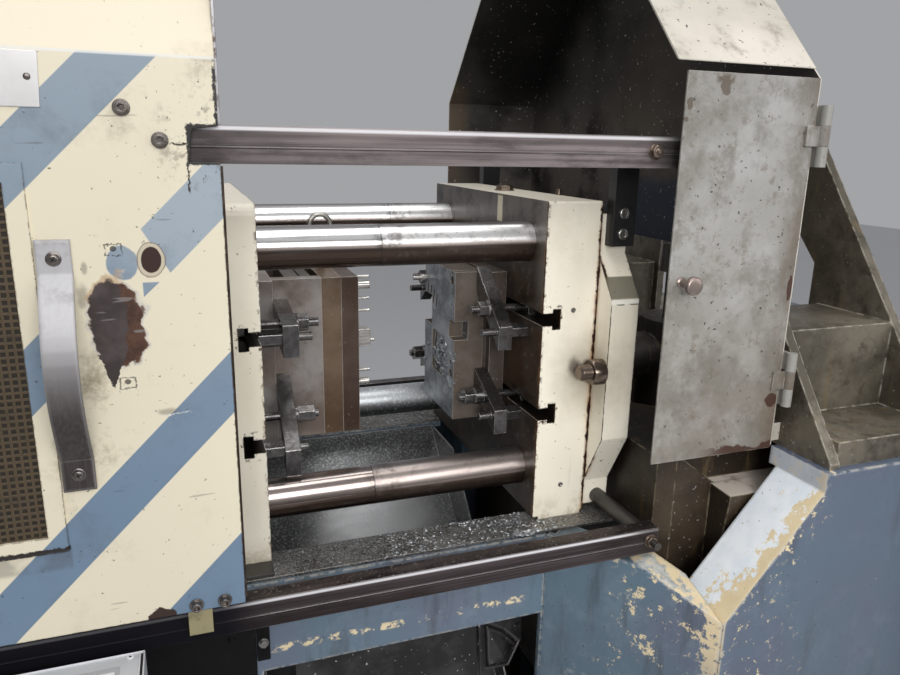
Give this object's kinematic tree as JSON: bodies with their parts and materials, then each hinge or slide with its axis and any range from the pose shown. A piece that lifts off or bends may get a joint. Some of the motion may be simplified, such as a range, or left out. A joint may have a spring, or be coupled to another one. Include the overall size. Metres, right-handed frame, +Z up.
{
  "type": "die casting machine",
  "caption": "Hot-chamber die casting machine with an opened die set between its platens, a sliding guard door, a hooded furnace side and a stepped base.",
  "frame": {"origin": "on the floor under the middle of the base", "axes": "+X along the machine from the clamp to the furnace, -Y towards the operator, +Z up"},
  "size_m": [3.4, 1.11, 1.98],
  "materials": {
    "blue_paint": "chipped blue paint over primer",
    "cream_paint": "greasy cream paint with rust at the edges",
    "guard_paint": "cream paint with stripes and chips",
    "dark_steel": "dark oiled steel",
    "worn_steel": "worn bare steel",
    "black_sheet": "black painted sheet",
    "black_paint": "black paint",
    "bar_chrome": "hard chromed and oily",
    "die_steel": "heat stained tool steel",
    "rail_steel": "dark drawn steel",
    "brown_mesh": "brown perforated sheet",
    "zinc_plate": "dull plated steel",
    "nylon": "yellowed plastic",
    "furnace_iron": "sooty and oily iron",
    "hood_sheet": "sooty grey sheet",
    "knob_steel": "worn bronze colour",
    "grey_box": "light grey paint"
  },
  "bodies": {
    "machine": {"clamp_base": "blue_paint", "splay_walls": "blue_paint", "furnace_base": "blue_paint", "levelling_feet": "dark_steel", "slideways": "worn_steel", "drop_chute": "black_sheet", "fixed_platen": "cream_paint", "platen_ribs": "cream_paint", "rail_posts": "black_paint", "rail_rods": "dark_steel", "bar_upper_front": "bar_chrome", "bar_upper_rear": "bar_chrome", "bar_lower_front": "bar_chrome", "bar_lower_rear": "bar_chrome", "bar_nuts": "dark_steel", "end_platen": "cream_paint", "closing_cylinder": "dark_steel", "clamp_housing": "cream_paint", "cover_front": "cream_paint", "cover_rear": "cream_paint", "cover_base": "die_steel", "cover_mid": "die_steel", "cover_face": "die_steel", "cover_pin": "zinc_plate", "cover_clamps": "worn_steel", "top_rail": "rail_steel", "bottom_rail": "rail_steel", "rear_rails": "rail_steel", "rear_guard": "guard_paint", "furnace_casing": "furnace_iron", "injection_frame": "furnace_iron", "injection_cylinder": "worn_steel", "gooseneck": "furnace_iron", "hood_shell": "hood_sheet", "hood_collar": "hood_sheet", "hood_hinges": "zinc_plate", "control_box": "grey_box"},
    "moving_unit": {"moving_platen": "cream_paint", "platen_shoes": "dark_steel", "closing_rod": "bar_chrome", "ejector_base": "die_steel", "ejector_rails": "die_steel", "ejector_pack": "worn_steel", "ejector_pins": "zinc_plate", "ejector_plate": "die_steel", "ejector_face": "die_steel", "ejector_clamps": "worn_steel", "lifting_eye": "bar_chrome"},
    "guard": {"guard_door": "guard_paint", "window_frame": "guard_paint", "window_mesh": "brown_mesh", "guard_handle": "zinc_plate", "guard_shoes": "nylon"},
    "hood_door": {"hood_door": "hood_sheet", "door_knob": "knob_steel"}
  },
  "joints": [
    {"name": "platen_slide", "type": "slide", "parent": "machine", "child": "moving_unit", "axis": [1, 0, 0], "range_m": [0, 0.165]},
    {"name": "guard_slide", "type": "slide", "parent": "machine", "child": "guard", "axis": [1, 0, 0], "range_m": [0, 0.575]},
    {"name": "hood_door_hinge", "type": "hinge", "parent": "machine", "child": "hood_door", "pos_m": [0.76, -0.4663, 1.3], "axis": [0, 0, 1], "range_deg": [0, 100]}
  ]
}
